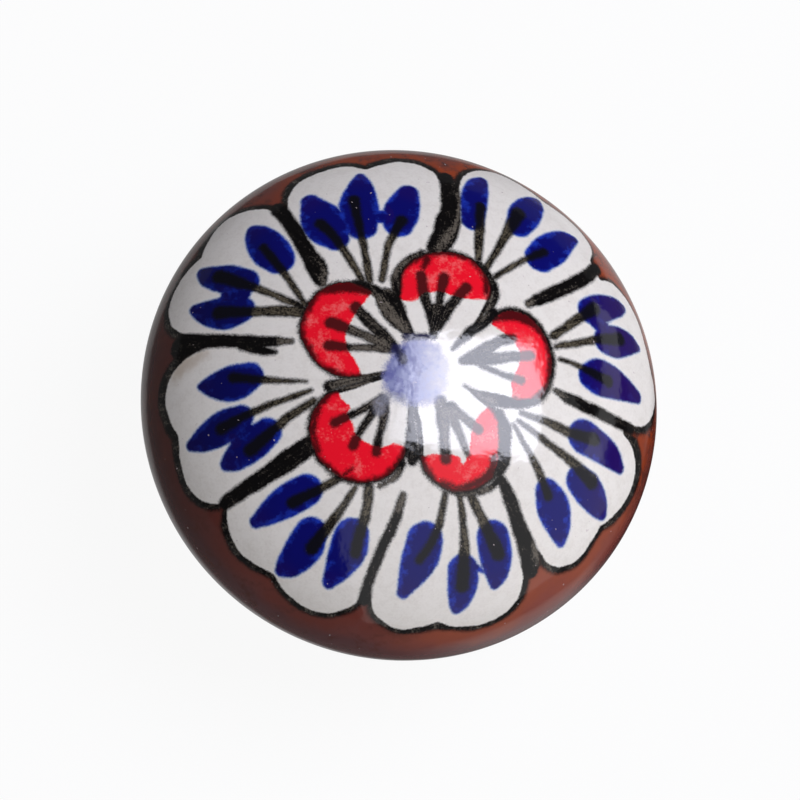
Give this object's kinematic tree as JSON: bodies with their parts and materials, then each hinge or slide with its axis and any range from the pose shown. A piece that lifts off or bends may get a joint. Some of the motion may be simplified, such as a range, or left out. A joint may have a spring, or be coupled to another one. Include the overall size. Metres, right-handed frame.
{
  "type": "cabinet knob",
  "caption": "Mushroom cabinet knob of hand-painted glazed ceramic, with a domed flower face, a short neck and foot, and a threaded insert in its back for a screw.",
  "frame": {"origin": "centre of the foot's seat, in the plane that meets the door or drawer front", "axes": "+Z along the knob's axis from the seat to the top of the dome; +Y is up in the painted flower"},
  "size_m": [0.04, 0.04, 0.03],
  "materials": {
    "glazed_ceramic": "gloss glaze",
    "brass": "machined"
  },
  "bodies": {
    "root": {"ceramic_knob": "glazed_ceramic", "threaded_insert": "brass"}
  },
  "joints": []
}
